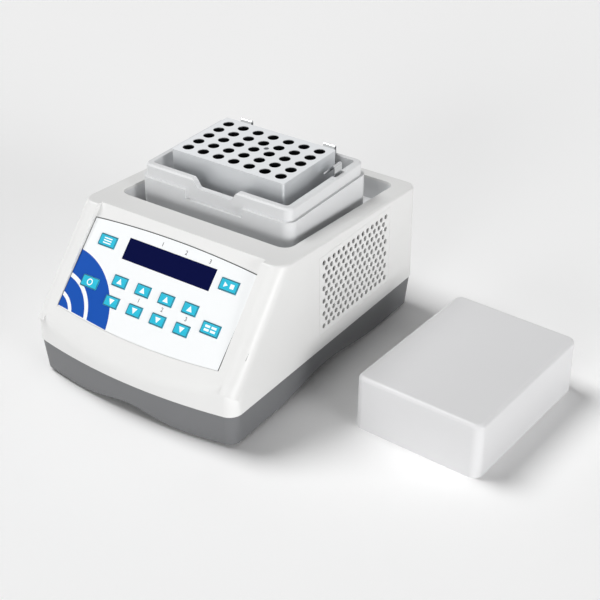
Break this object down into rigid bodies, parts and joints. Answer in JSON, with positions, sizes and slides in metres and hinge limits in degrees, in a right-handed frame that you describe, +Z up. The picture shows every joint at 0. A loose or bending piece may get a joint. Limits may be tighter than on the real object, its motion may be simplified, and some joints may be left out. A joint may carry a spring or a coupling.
{
  "type": "thermal mixer",
  "caption": "Bench mixer that heats and orbits a block of sample tubes, with a sloped key panel, vented case, spring clips and a lift-off lid.",
  "frame": {"origin": "middle of the footprint of case and lid together, on the bench, at the underside of the feet", "axes": "+X to the operator's right when facing the key panel, +Y to the back, +Z up"},
  "size_m": [0.4257, 0.3157, 0.185],
  "materials": {
    "case_white": "satin",
    "base_grey": "satin",
    "carrier_white": "satin",
    "lid_white": "satin",
    "overlay_white": "satin",
    "key_cyan": "satin",
    "window_navy": "polished",
    "block_aluminium": "machined and anodised clear",
    "plate_aluminium": "mill",
    "steel": "zinc plated",
    "spring_steel": "polished",
    "bearing_steel": "ground",
    "rubber_black": "matt",
    "heater_red": "matt",
    "board_green": "satin",
    "motor_black": "satin",
    "inlet_black": "satin",
    "brass": "satin"
  },
  "bodies": {
    "case": {"upper_housing": "case_white", "well_tray": "case_white", "lower_base": "base_grey", "rubber_feet": "rubber_black", "housing_screws": "steel", "side_grille_left": "case_white", "side_grille_right": "case_white", "panel_overlay": "overlay_white", "display_window": "window_navy", "display_module": "board_green", "keypad_board": "board_green", "main_board": "board_green", "supply_board": "board_green", "board_screws": "steel", "power_inlet": "inlet_black", "inlet_blades": "brass", "switch_body": "inlet_black", "fan_frame": "inlet_black", "drive_deck": "plate_aluminium", "deck_pillars": "steel", "deck_screws": "steel", "deck_bearings": "bearing_steel", "motor_body": "motor_black"},
    "drive": {"motor_shaft": "bearing_steel", "drive_crank": "steel", "counterweight": "steel"},
    "platform": {"shaker_plate": "plate_aluminium", "platform_bearings": "bearing_steel", "carrier_body": "carrier_white", "carrier_rim": "carrier_white", "carrier_screws": "steel", "clip_screws": "steel", "plate_posts": "steel", "heater_plate": "plate_aluminium", "heater_pad": "heater_red", "temperature_sensor": "steel", "heating_block": "block_aluminium", "block_screws": "steel"},
    "idler_left_body": {"idler_left": "bearing_steel"},
    "idler_right_body": {"idler_right": "bearing_steel"},
    "idler_front_body": {"idler_front": "bearing_steel"},
    "clip_right_body": {"clip_right": "spring_steel"},
    "clip_back_left_body": {"clip_back_left": "spring_steel"},
    "clip_back_right_body": {"clip_back_right": "spring_steel"},
    "rocker": {"power_rocker": "inlet_black"},
    "fan": {"fan_rotor": "inlet_black"},
    "lid": {"lid_shell": "lid_white"},
    "key_left_upper_body": {"key_left_upper": "key_cyan"},
    "key_left_lower_body": {"key_left_lower": "key_cyan"},
    "key_right_upper_body": {"key_right_upper": "key_cyan"},
    "key_right_lower_body": {"key_right_lower": "key_cyan"},
    "key_up_1_body": {"key_up_1": "key_cyan"},
    "key_down_1_body": {"key_down_1": "key_cyan"},
    "key_up_2_body": {"key_up_2": "key_cyan"},
    "key_down_2_body": {"key_down_2": "key_cyan"},
    "key_up_3_body": {"key_up_3": "key_cyan"},
    "key_down_3_body": {"key_down_3": "key_cyan"},
    "key_up_4_body": {"key_up_4": "key_cyan"},
    "key_down_4_body": {"key_down_4": "key_cyan"}
  },
  "joints": [
    {"name": "crank_spin", "type": "hinge", "parent": "case", "child": "drive", "pos_m": [-0.0998, 0.0427, 0.09], "axis": [0, 0, 1], "continuous": true},
    {"name": "platform_orbit", "type": "hinge", "parent": "drive", "child": "platform", "pos_m": [-0.0983, 0.0427, 0.11], "axis": [0, 0, 1], "continuous": true},
    {"name": "idler_left_spin", "type": "hinge", "parent": "case", "child": "idler_left_body", "pos_m": [-0.1618, 0.0807, 0.09], "axis": [0, 0, 1], "continuous": true},
    {"name": "idler_right_spin", "type": "hinge", "parent": "case", "child": "idler_right_body", "pos_m": [-0.0378, 0.0807, 0.09], "axis": [0, 0, 1], "continuous": true},
    {"name": "idler_front_spin", "type": "hinge", "parent": "case", "child": "idler_front_body", "pos_m": [-0.0998, -0.0033, 0.09], "axis": [0, 0, 1], "continuous": true},
    {"name": "clip_right_flex", "type": "hinge", "parent": "platform", "child": "clip_right_body", "pos_m": [-0.0199, 0.066, 0.153], "axis": [0, 1, 0], "range_deg": [0, 4], "stiffness_Nm_per_rad": 4},
    {"name": "clip_back_left_flex", "type": "hinge", "parent": "platform", "child": "clip_back_left_body", "pos_m": [-0.1468, 0.0991, 0.153], "axis": [-1, 0, 0], "range_deg": [0, 4], "stiffness_Nm_per_rad": 4},
    {"name": "clip_back_right_flex", "type": "hinge", "parent": "platform", "child": "clip_back_right_body", "pos_m": [-0.0498, 0.0991, 0.153], "axis": [-1, 0, 0], "range_deg": [0, 4], "stiffness_Nm_per_rad": 4},
    {"name": "key_left_upper_press", "type": "slide", "parent": "case", "child": "key_left_upper_body", "axis": [0, 0.7343, -0.6788], "range_m": [0, 0.0005], "stiffness_N_per_m": 2500},
    {"name": "key_left_lower_press", "type": "slide", "parent": "case", "child": "key_left_lower_body", "axis": [0, 0.7343, -0.6788], "range_m": [0, 0.0005], "stiffness_N_per_m": 2500},
    {"name": "key_right_upper_press", "type": "slide", "parent": "case", "child": "key_right_upper_body", "axis": [0, 0.7343, -0.6788], "range_m": [0, 0.0005], "stiffness_N_per_m": 2500},
    {"name": "key_right_lower_press", "type": "slide", "parent": "case", "child": "key_right_lower_body", "axis": [0, 0.7343, -0.6788], "range_m": [0, 0.0005], "stiffness_N_per_m": 2500},
    {"name": "key_up_1_press", "type": "slide", "parent": "case", "child": "key_up_1_body", "axis": [0, 0.7343, -0.6788], "range_m": [0, 0.0005], "stiffness_N_per_m": 2500},
    {"name": "key_down_1_press", "type": "slide", "parent": "case", "child": "key_down_1_body", "axis": [0, 0.7343, -0.6788], "range_m": [0, 0.0005], "stiffness_N_per_m": 2500},
    {"name": "key_up_2_press", "type": "slide", "parent": "case", "child": "key_up_2_body", "axis": [0, 0.7343, -0.6788], "range_m": [0, 0.0005], "stiffness_N_per_m": 2500},
    {"name": "key_down_2_press", "type": "slide", "parent": "case", "child": "key_down_2_body", "axis": [0, 0.7343, -0.6788], "range_m": [0, 0.0005], "stiffness_N_per_m": 2500},
    {"name": "key_up_3_press", "type": "slide", "parent": "case", "child": "key_up_3_body", "axis": [0, 0.7343, -0.6788], "range_m": [0, 0.0005], "stiffness_N_per_m": 2500},
    {"name": "key_down_3_press", "type": "slide", "parent": "case", "child": "key_down_3_body", "axis": [0, 0.7343, -0.6788], "range_m": [0, 0.0005], "stiffness_N_per_m": 2500},
    {"name": "key_up_4_press", "type": "slide", "parent": "case", "child": "key_up_4_body", "axis": [0, 0.7343, -0.6788], "range_m": [0, 0.0005], "stiffness_N_per_m": 2500},
    {"name": "key_down_4_press", "type": "slide", "parent": "case", "child": "key_down_4_body", "axis": [0, 0.7343, -0.6788], "range_m": [0, 0.0005], "stiffness_N_per_m": 2500},
    {"name": "rocker_tilt", "type": "hinge", "parent": "case", "child": "rocker", "pos_m": [-0.0063, 0.15453, 0.072], "axis": [1, 0, 0], "range_deg": [0, 16]},
    {"name": "fan_spin", "type": "hinge", "parent": "case", "child": "fan", "pos_m": [-0.2013, 0.0442, 0.0785], "axis": [1, 0, 0], "continuous": true},
    {"name": "lid_lift", "type": "slide", "parent": "case", "child": "lid", "axis": [0, 0, 1], "range_m": [0, 0.2]}
  ],
  "couplings": [
    {"joint": "platform_orbit", "follows": "crank_spin", "ratio": -1},
    {"joint": "idler_left_spin", "follows": "crank_spin", "ratio": 1},
    {"joint": "idler_right_spin", "follows": "crank_spin", "ratio": 1},
    {"joint": "idler_front_spin", "follows": "crank_spin", "ratio": 1}
  ]
}
